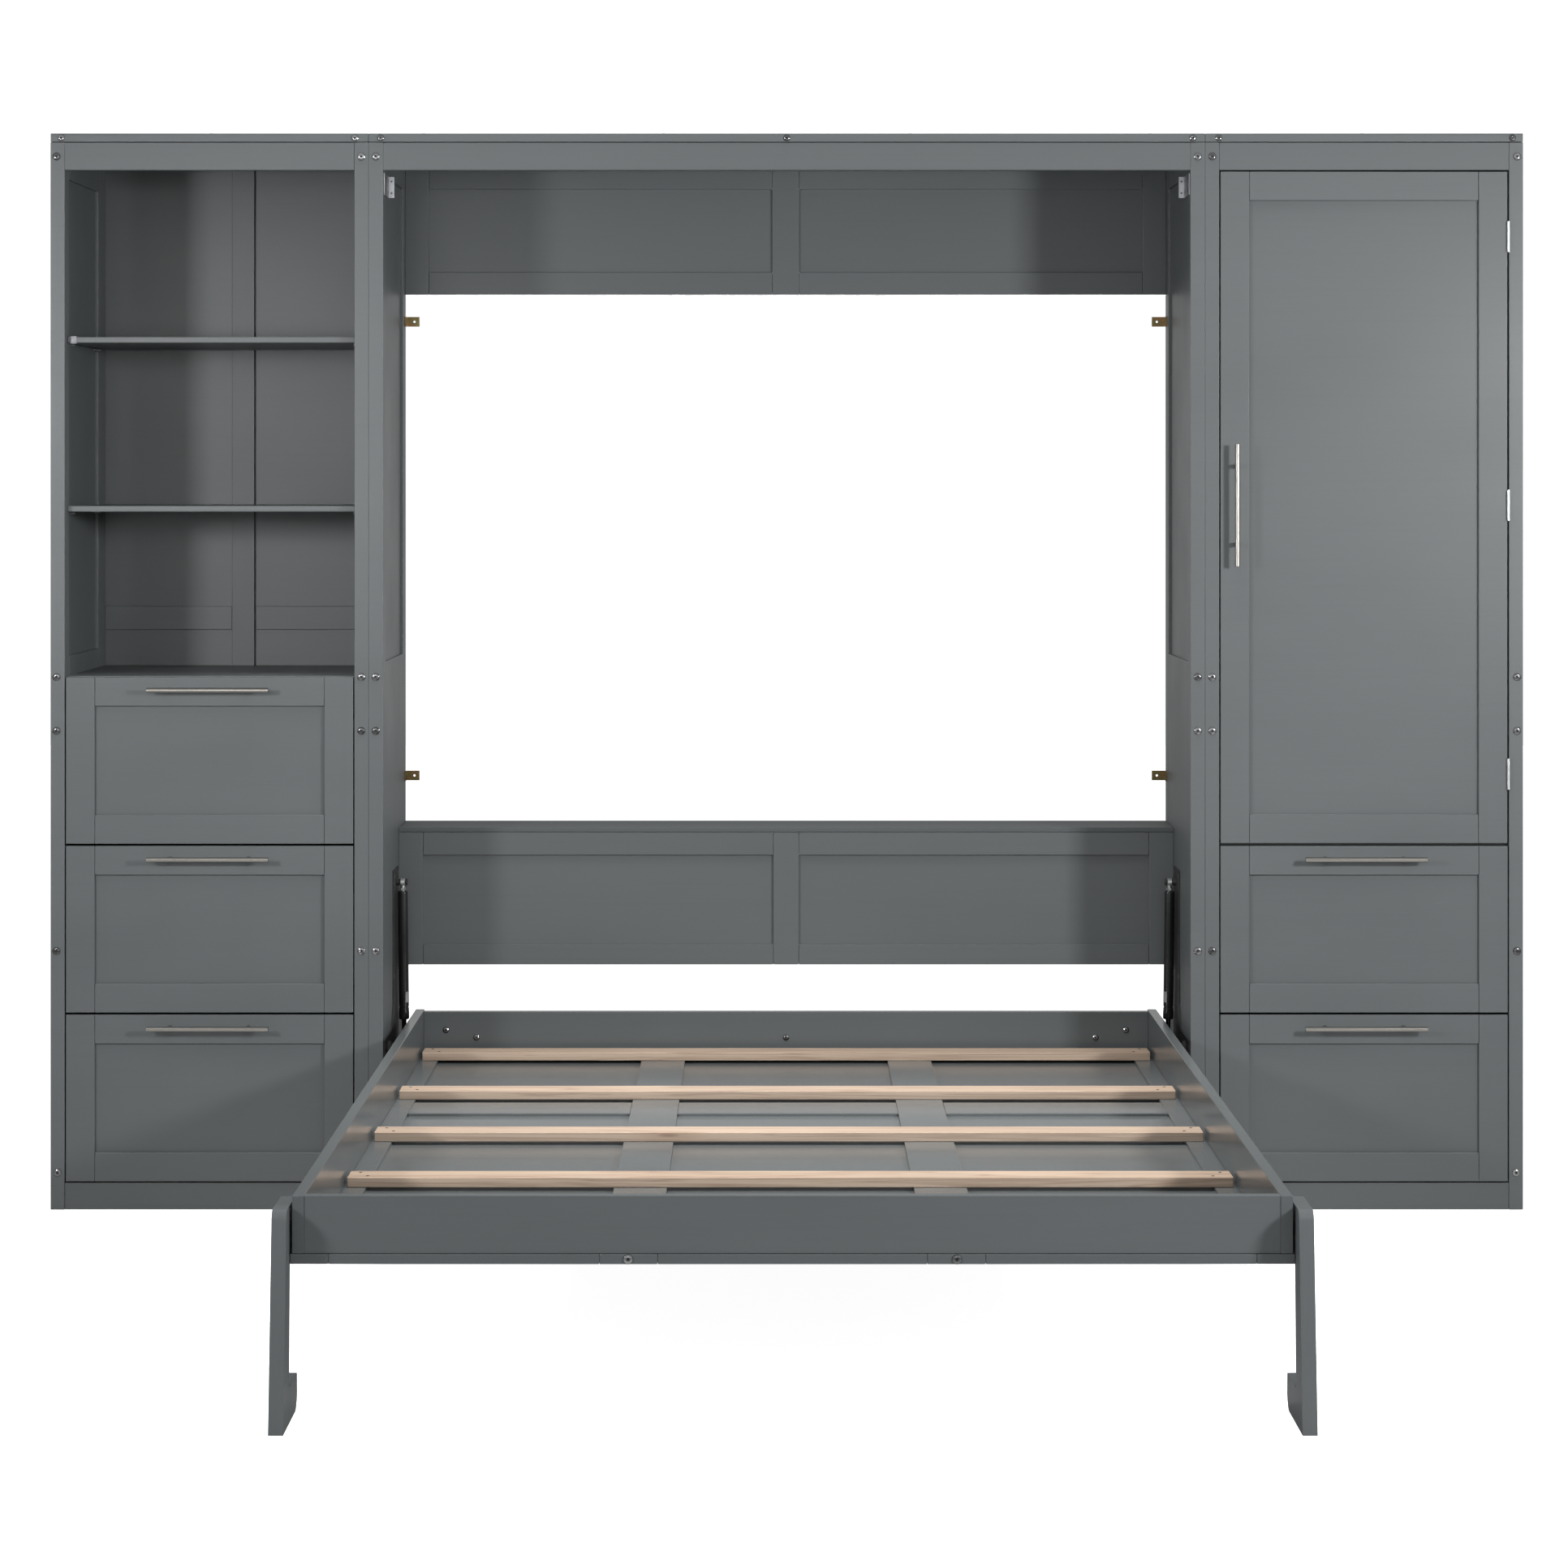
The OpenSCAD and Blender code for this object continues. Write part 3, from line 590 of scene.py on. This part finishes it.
def square_to(axis):
    """Two directions at right angles to an axis and to each other."""
    u = UP if abs(axis.z) < 0.5 else Vector((1, 0, 0))
    return u, axis.cross(u)


def add_rings(bm, centre, axis, profile, sides):
    """Adds the corners of circles round an axis, from (distance along axis, radius) pairs."""
    u, v = square_to(axis)
    return [[bm.verts.new(centre + axis * distance + (u * math.cos(a) + v * math.sin(a)) * radius)
             for a in (2 * math.pi * i / sides for i in range(sides))]
            for distance, radius in profile]


def join_rings(bm, first, second):
    """Fills the band between two rings."""
    for i in range(len(first)):
        j = (i + 1) % len(first)
        bm.faces.new((first[i], first[j], second[j], second[i]))


def add_lathe(bm, centre, axis, profile, sides=24):
    """Adds a turned shape: profile is (distance along axis, radius) pairs, closed at both ends."""
    rings = add_rings(bm, centre, axis, profile, sides)
    for ring, following in zip(rings, rings[1:]):
        join_rings(bm, ring, following)
    bm.faces.new(list(reversed(rings[0])))
    bm.faces.new(rings[-1])


# The faces of a box whose corners are listed by their first, second and third direction.
BOX_FACES = ((0, 1, 3, 2), (4, 6, 7, 5), (0, 4, 5, 1), (2, 3, 7, 6), (0, 2, 6, 4), (1, 5, 7, 3))


def add_screw(bm, centre, axis, radius):
    """Adds a screw head that stands slightly proud along axis, with a cross of painted shade on it for the
    shade in its slots.
    """
    add_lathe(bm, centre, axis, [(-0.001, radius), (0.0002, radius), (0.0005, radius * 0.8)])
    u, v = square_to(axis)
    arm, width, height = radius * 0.55, radius * 0.13, 0.0007
    # The cross takes the second material, painted shade standing in for the recessed slots.
    for along_arm, across_arm in ((u, v), (v, u)):
        corners = [centre + along_arm * a + across_arm * b + axis * c
                   for a in (-arm, arm) for b in (-width, width) for c in (0.0, height)]
        verts = [bm.verts.new(c) for c in corners]
        for face in BOX_FACES:
            bm.faces.new([verts[i] for i in face]).material_index = 1


def small_piece(name, body, materials, build):
    """A piece from a function that adds shapes to a bmesh, shaded smooth between its sharp edges."""
    bm = bmesh.new()
    build(bm)
    bmesh.ops.recalc_face_normals(bm, faces=bm.faces)
    mesh = bpy.data.meshes.new(name)
    bm.to_mesh(mesh)
    bm.free()
    piece = finish_piece(name, mesh, body, materials)
    smooth(piece)
    crisp = piece.modifiers.new("crisp edges", "EDGE_SPLIT")
    crisp.split_angle = SHARP
    return piece


# Two screws at each end of a slat: how far in from its end, and how far back from its front edge.
SLAT_SCREWS = ((0.018, 0.05), (0.034, 0.016))
SLAT_SCREW_R = 0.003
BRACKET_METAL = 0.002    # how thick the wall brackets and the catches are
BRACKET_SCREW_HEIGHTS = (0.85, 1.835)
BRACKET_SCREW_INSET = 0.018     # from the bracket's back edge
BRACKET_SCREW_R = 0.0038
CATCH_SCREW_HEIGHTS = (2.086, 2.11)
CATCH_SCREW_DEPTHS = (0.03, 0.08)     # behind the front edge
CATCH_SCREW_R = 0.0036
CATCH_FACE_SCREW_INSET = 0.0065
CATCH_FACE_SCREW_R = 0.0026
PLATE_METAL = 0.003      # how thick the mechanism plates are
PLATE_SCREW_R = 0.0045
# The screws of a mechanism plate: how far behind the front edge, and how high.
PLATE_SCREWS = ((0.02, 0.262), (0.02, 0.33), (0.14, 0.262), (0.28, 0.262),
                (0.205, 0.66), (0.28, 0.66), (0.205, 0.45), (0.28, 0.45))


def slat_starts():
    """The front edges of the slats, read from the CAD node's vertices."""
    ys = sorted({round(v.co.y, 4) for v in NODES["bed_slats"].data.vertices})
    return ys[0::2]


def add_slat_screws(bm):
    """Screws that hold the ends of the slats down."""
    top = hi("bed_slats").z
    half = hi("bed_slats").x
    for start in slat_starts():
        for sign in (-1, 1):
            for inset, back in SLAT_SCREWS:
                place = Vector((sign * (half - inset), start + back, top))
                add_screw(bm, place, UP, SLAT_SCREW_R)


def add_bracket_screws(bm):
    """Screws that hold the wall brackets and the catches to the bay's sides."""
    face_x = hi("wall_brackets").x - BRACKET_METAL
    bracket_y = hi("wall_brackets").y - BRACKET_SCREW_INSET
    catch_x = hi("catch_brackets").x - CATCH_FACE_SCREW_INSET
    catch_y = hi("catch_brackets").y - BRACKET_METAL
    for sign in (-1, 1):
        inward = Vector((-sign, 0, 0))
        for z in BRACKET_SCREW_HEIGHTS:
            add_screw(bm, Vector((sign * face_x, bracket_y, z)), inward, BRACKET_SCREW_R)
        for z in CATCH_SCREW_HEIGHTS:
            for depth in CATCH_SCREW_DEPTHS:
                add_screw(bm, Vector((sign * face_x, FRONT + depth, z)), inward, CATCH_SCREW_R)
            add_screw(bm, Vector((sign * catch_x, catch_y, z)), FORWARD, CATCH_FACE_SCREW_R)


def add_plate_screws(bm):
    """Screws round the mechanism plates."""
    x = -lo("mechanism_plates").x - PLATE_METAL
    for sign in (-1, 1):
        for depth, z in PLATE_SCREWS:
            add_screw(bm, Vector((sign * x, FRONT + depth, z)), Vector((-sign, 0, 0)), PLATE_SCREW_R)


def solids(node):
    """The lowest and highest corners of each separate solid in a CAD node."""
    bm = bmesh.new()
    bm.from_mesh(NODES[node].data)
    bmesh.ops.remove_doubles(bm, verts=bm.verts, dist=TOUCHING)
    unseen = set(bm.verts)
    boxes = []
    for seed in list(bm.verts):
        if seed not in unseen:
            continue
        unseen.discard(seed)
        group, edge_of_group = [seed], [seed]
        while edge_of_group:
            vert = edge_of_group.pop()
            for edge in vert.link_edges:
                other = edge.other_vert(vert)
                if other in unseen:
                    unseen.discard(other)
                    group.append(other)
                    edge_of_group.append(other)
        boxes.append((Vector([min(v.co[i] for v in group) for i in range(3)]),
                      Vector([max(v.co[i] for v in group) for i in range(3)])))
    bm.free()
    return boxes


RIM_WIDTH = 0.0008       # how far the ring of painted shade reaches out from the bolt's head
SOCKET_SHARE = 0.4       # a bolt's socket as a share of its head


def add_bolt_painted_shade(bm, node):
    """Painted shade round and in each bolt head: a dark ring where the head meets the board, and a dark disc
    at the bottom of its socket.
    """
    for low, high in solids(node):
        size = high - low
        middle = (low + high) / 2
        radius = size.x / 2
        if size.y < size.z:
            base, axis = Vector((middle.x, high.y, middle.z)), FORWARD
        else:
            base, axis = Vector((middle.x, middle.y, low.z)), UP
        rim, socket = radius + RIM_WIDTH, radius * SOCKET_SHARE
        # Painted shade: first the dark ring round the head, then the dark disc in its socket.
        add_lathe(bm, base, axis, [(-0.0002, rim), (0.00025, rim), (0.0004, radius + 0.0002)], 32)
        add_lathe(bm, base, axis, [(0.0009, socket), (0.00115, socket)], 6)


def add_ring(bm, centre, axis, inner, outer, half, chamfer):
    """Adds a flat ring with chamfered rims round an axis; half is half its thickness."""
    outline = [(-half, inner), (-half, outer - chamfer), (-half + chamfer, outer),
               (half - chamfer, outer), (half, outer - chamfer), (half, inner)]
    rings = add_rings(bm, centre, axis, outline, 32)
    for ring, following in zip(rings, rings[1:] + rings[:1]):
        join_rings(bm, ring, following)


def strut_axis(side):
    """The strut's upper pivot and its unit direction at rest, from the frame's joints."""
    swing = next(j for j in frame["joints"] if j["name"] == side + "_strut_swing")
    stroke = next(j for j in frame["joints"] if j["name"] == side + "_strut_stroke")
    return Vector(swing["pos_m"]), Vector(stroke["axis"]).normalized()


# A strut's sizes: its radii, and distances down from its upper pivot.
TUBE_R = 0.0105
TUBE_START = 0.0195
TUBE_END = 0.294
BORE_R = 0.0052
BORE_START = TUBE_START + 0.02
STUD_R = 0.00405
EYE_R = 0.008
EYE_HALF = 0.0048
SHANK_R = 0.0048
NUT_R = 0.0067
LABEL_ENDS = (0.234, 0.257)
# The label's wrap round the tube, in degrees from the side that faces the bed.
LABEL_FROM = -50
LABEL_SWEEP = 115


def add_strut_tube(bm, side):
    """The enamelled tube with its rolled start, its groove, the collar at its end and its open bore."""
    top, down = strut_axis(side)
    r, start, end = TUBE_R, TUBE_START, TUBE_END
    rolled_start = [(start, 0.0046), (start, r - 0.0022), (start + 0.001, r - 0.0006),
                    (start + 0.0028, r)]
    groove = [(end - 0.0275, r), (end - 0.0265, r - 0.0009), (end - 0.0245, r - 0.0009),
              (end - 0.0235, r)]
    collar = [(end - 0.0165, r), (end - 0.016, r + 0.0004), (end - 0.0015, r + 0.0004),
              (end - 0.0003, r - 0.0005), (end, r - 0.0016)]
    bore = [(end, BORE_R), (BORE_START, BORE_R)]
    add_lathe(bm, top, down, rolled_start + groove + collar + bore, 48)


def add_strut_fitting(bm, side):
    """The eye on the upper stud, its shank and its lock nut."""
    top, down = strut_axis(side)
    add_ring(bm, top, Vector((1, 0, 0)), STUD_R, EYE_R, EYE_HALF, 0.0008)
    add_lathe(bm, top, down, [(0.0068, SHANK_R), (0.0185, SHANK_R), (TUBE_START + 0.0005, 0.0042)], 32)
    add_lathe(bm, top, down, [(0.0122, 0.0058), (0.0128, NUT_R), (0.0165, NUT_R), (0.0171, 0.0058)], 6)


def add_strut_label(bm, side):
    """A blank label round the part of the tube that faces the bed."""
    top, down = strut_axis(side)
    inward = Vector((1 if side == "left" else -1, 0, 0))
    forward = down.cross(inward).normalized()
    if forward.y > 0:
        forward = -forward
    steps = 14
    angles = [math.radians(LABEL_FROM + LABEL_SWEEP * i / steps) for i in range(steps + 1)]
    rows = []
    for distance in LABEL_ENDS:
        for radius in (TUBE_R + 0.00005, TUBE_R + 0.0002):
            rows.append([bm.verts.new(top + down * distance
                                      + (inward * math.cos(a) + forward * math.sin(a)) * radius)
                         for a in angles])
    inner_a, outer_a, inner_b, outer_b = rows
    for first, second in ((outer_a, outer_b), (inner_b, inner_a), (inner_a, outer_a), (outer_b, inner_b)):
        for i in range(steps):
            bm.faces.new((first[i], first[i + 1], second[i + 1], second[i]))
    for i in (0, steps):
        bm.faces.new((inner_a[i], outer_a[i], outer_b[i], inner_b[i]))


# The clip's ends, from the end of the shelf, its thickness in front and above, and how far it reaches back.
CLIP_START = 0.006
CLIP_END = 0.019
CLIP_FACE = 0.0018
CLIP_WALL = 0.0015
CLIP_REACH = 0.012
CLIP_EASE = 0.0003


def add_shelf_clip(bm):
    """The small plastic clip on the front edge of the upper shelf, at its left end."""
    low, high = max(solids("left_shelves"), key=lambda box: box[1].z)
    x0, x1 = low.x + CLIP_START, low.x + CLIP_END
    front, back = low.y, low.y + CLIP_REACH
    under, over = low.z - CLIP_WALL, high.z + CLIP_WALL
    for y0, y1, z0, z1 in ((front - CLIP_FACE, front, under, over),
                           (front, back, high.z, over),
                           (front, back, under, low.z)):
        add_board(bm, (x0, y0, z0), (x1, y1, z1), X, CLIP_EASE)


def build_small_parts():
    """The screws, the clip, the painted shade round and in the bolts' heads, and the two struts."""
    # The slat screws take the painted shade material on their heads as well as their crosses.
    small_piece("slat_screws", "bed", [SHADOW, SHADOW], add_slat_screws)
    small_piece("bracket_screws", "cabinets", [DULL_ZINC, SHADOW], add_bracket_screws)
    small_piece("plate_screws", "cabinets", [DULL_ZINC, SHADOW], add_plate_screws)
    small_piece("shelf_clip", "cabinets", [CLIP_PLASTIC], add_shelf_clip)
    # Painted shade round and in the bolt heads, one piece for each body.
    for node, body in (("cabinet_bolts", "cabinets"), ("bed_bolts", "bed")):
        small_piece(node + "_trim", body, [SHADOW], lambda bm: add_bolt_painted_shade(bm, node))
    for side in ("left", "right"):
        body = side + "_strut_tube"
        tube = small_piece(side + "_strut_body", body, [STRUT_BLACK],
                           lambda bm: add_strut_tube(bm, side))
        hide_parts(side + "_strut_tube")
        small_piece(side + "_strut_fitting", body, [BRIGHT_ZINC],
                    lambda bm: add_strut_fitting(bm, side))
        small_piece(side + "_strut_label", body, [LABEL],
                    lambda bm: add_strut_label(bm, side))


# ---------- CAD nodes that show as they are ----------

def dress_nodes():
    """Materials and eased edges for the CAD nodes that no piece replaces."""
    for node in ("left_shelves", "left_counter_board", "right_floor_board", "top_rails",
                 "plinth_boards", "footboard"):
        dress(node, PAINT[X], EASE)
    dress("headboard_shelf", DULL_PAINT, EASE)
    dress("bed_head_rail", BED_PAINT[X], EASE)
    dress("bed_side_rails", BED_PAINT[Y], EASE)
    for node in ("left_leg", "right_leg"):
        dress(node, PAINT[Z], 0.0022, 3)
    dress("bed_slats", PINE, 0.0014)
    for drawer in DRAWERS:
        dress(drawer + "_box", PLYWOOD, 0.0008)
        dress(drawer + "_handle", NICKEL_X, 0.0005)
    dress("door_handle", NICKEL_Z, 0.0005)
    for node in ("cabinet_bolts", "bed_bolts"):
        dress(node, BOLT_ZINC, 0.0003)
    dress("leg_pivot_bolts", BLACK_STEEL, 0.0003)
    for node in ("door_hinge_frames", "door_hinge_leaves"):
        dress(node, BRIGHT_ZINC, 0.0003)
    dress("catch_brackets", CATCH_ZINC, 0.0003)
    for node in ("shelf_pins", "drawer_runners", "hanging_rail"):
        dress(node, DULL_ZINC, 0.0004)
    dress("wall_brackets", YELLOW_ZINC, 0.0004)
    for node in ("mechanism_plates", "bed_hinge_plates"):
        dress(node, BLACK_STEEL, 0.0005)
    for side in ("left", "right"):
        dress(side + "_strut_rod", BLACK_CHROME, 0.0004)


# ---------- studio ----------

FLOOR_REACH = 14.0
FLOOR_GLOW = 0.94        # what the camera sees of the floor's own light
FLOOR_BOUNCE = 0.5       # the share of the light that the floor throws back
BACKDROP = 1.02          # what the camera sees of the backdrop
FILL = 0.36              # the backdrop's light on matt surfaces
REFLECTED = 0.49         # the backdrop's light in reflections
SHELL_WORDS = ("_back", "outer_side", "top_board")     # in the names of the cabinets' outer boards


def aim(obj, target):
    """Turns a light to face a point."""
    obj.rotation_euler = (Vector(target) - obj.location).to_track_quat("-Z", "Y").to_euler()


def add_softbox(name, place, target, size, watts, colour=(1, 1, 1), spread=180):
    """A rectangular light; spread is the angle of its beam in degrees."""
    data = bpy.data.lights.new(name, "AREA")
    data.shape = "RECTANGLE"
    data.size, data.size_y = size
    data.energy = watts
    data.color = colour
    data.spread = math.radians(spread)
    light = bpy.data.objects.new(name, data)
    light.location = place
    aim(light, target)
    bpy.context.scene.collection.objects.link(light)
    return light


def build_floor():
    """A pale floor that throws back less light than it shows, as a floor under flags does."""
    mesh = bpy.data.meshes.new("studio_floor")
    r = FLOOR_REACH
    mesh.from_pydata([(-r, -r, 0), (r, -r, 0), (r, r, 0), (-r, r, 0)], [], [(0, 1, 2, 3)])
    floor = bpy.data.objects.new("studio_floor", mesh)
    bpy.context.scene.collection.objects.link(floor)
    s = Shader("studio_floor", (0.9, 0.9, 0.9), 0.8)
    s.surface.inputs["Specular IOR Level"].default_value = 0.0
    s.surface.inputs["Emission Color"].default_value = (1, 1, 1, 1)
    s.surface.inputs["Emission Strength"].default_value = FLOOR_GLOW
    bounce = s.add("ShaderNodeBsdfDiffuse")
    bounce.inputs["Color"].default_value = (*[FLOOR_BOUNCE] * 3, 1)
    seen = s.add("ShaderNodeMixShader")
    s.link(s.add("ShaderNodeLightPath").outputs["Is Camera Ray"], seen.inputs[0])
    s.link(bounce.outputs[0], seen.inputs[1])
    s.link(s.surface.outputs[0], seen.inputs[2])
    s.link(seen.outputs[0], s.tree.nodes["Material Output"].inputs["Surface"])
    mesh.materials.append(s.material)


def build_world():
    """A white backdrop whose fill light and reflections are weaker than it looks."""
    world = bpy.data.worlds.new("studio")
    bpy.context.scene.world = world
    world.use_nodes = True
    tree = world.node_tree
    background = tree.nodes["Background"]
    background.inputs["Color"].default_value = (1, 1, 1, 1)
    path = tree.nodes.new("ShaderNodeLightPath")
    unseen = tree.nodes.new("ShaderNodeMapRange")
    unseen.inputs["To Min"].default_value = FILL
    unseen.inputs["To Max"].default_value = REFLECTED
    tree.links.new(path.outputs["Is Glossy Ray"], unseen.inputs["Value"])
    strength = tree.nodes.new("ShaderNodeMix")
    strength.inputs["B"].default_value = BACKDROP
    tree.links.new(path.outputs["Is Camera Ray"], strength.inputs["Factor"])
    tree.links.new(unseen.outputs["Result"], strength.inputs["A"])
    tree.links.new(strength.outputs["Result"], background.inputs["Strength"])


def light_front():
    """The lights that the photo's side is seen by."""
    add_softbox("left_softbox", (-2.75, FRONT - 3.0, 1.75), (1.0, FRONT, 1.0), (0.4, 0.4), 28,
                spread=120)
    add_softbox("right_softbox", (2.75, FRONT - 3.0, 1.75), (-1.0, FRONT, 1.0), (0.4, 0.4), 49,
                spread=120)
    add_softbox("front_softbox", (0.0, -7.4, 1.8), (0.0, 0.6, 1.2), (3.0, 1.6), 25)
    add_softbox("cubby_softbox", (-1.35, FRONT - 3.4, 1.8), (-1.25, FRONT, 1.6), (0.9, 0.9), 0.8,
                spread=34)
    bed_light = add_softbox("bed_softbox", (0.0, 0.25, 3.7), (0.0, 0.2, 0.0), (2.2, 1.2), 33,
                            (1.0, 0.97, 0.94), 64)
    # Its mirror image would wash the glossy bed out when that is seen from above.
    bed_light.visible_glossy = False


def light_outside():
    """Lights for the backs and the sides, which reach only the shell of the cabinets.

    Unlinked, they would shine past the headboard into the bay, which the photo shows in shade.
    """
    shell = bpy.data.collections.new("cabinet_shell")
    for obj in bpy.context.scene.objects:
        if obj.type == "MESH" and any(word in obj.name for word in SHELL_WORDS):
            shell.objects.link(obj)
    for name, place, target in (("back_softbox", (0.0, 5.6, 1.3), (0.0, 1.0, 1.1)),
                                ("left_side_softbox", (-5.6, 0.9, 1.3), (-1.5, 0.9, 1.1)),
                                ("right_side_softbox", (5.6, 0.9, 1.3), (1.5, 0.9, 1.1))):
        light = add_softbox(name, place, target, (3.0, 1.0), 200)
        light.light_linking.receiver_collection = shell


def build_studio():
    """The floor, the backdrop and the lights. The pieces have to be there already."""
    build_floor()
    build_world()
    light_front()
    light_outside()
    bpy.context.scene.view_settings.view_transform = "Standard"


# The camera looks level along +Y, a little left of the middle, and its lens is shifted down.
CAMERA_X = -0.040
CAMERA_BACK = 7.661
CAMERA_Z = 1.494
CAMERA_LENS = 86.06
CAMERA_SHIFT = (0.0107, -0.1946)


def build_camera():
    """The camera of the photo."""
    data = bpy.data.cameras.new("camera")
    data.sensor_width = 36.0
    data.lens = CAMERA_LENS
    data.shift_x, data.shift_y = CAMERA_SHIFT
    camera = bpy.data.objects.new("camera", data)
    camera.location = (CAMERA_X, FRONT - CAMERA_BACK, CAMERA_Z)
    camera.rotation_euler = (math.radians(90), 0, 0)
    bpy.context.scene.collection.objects.link(camera)
    bpy.context.scene.camera = camera


build_camera()
build_fronts()
build_sides()
build_backs()
build_top_boards()
build_deck()
build_small_parts()
dress_nodes()
build_studio()
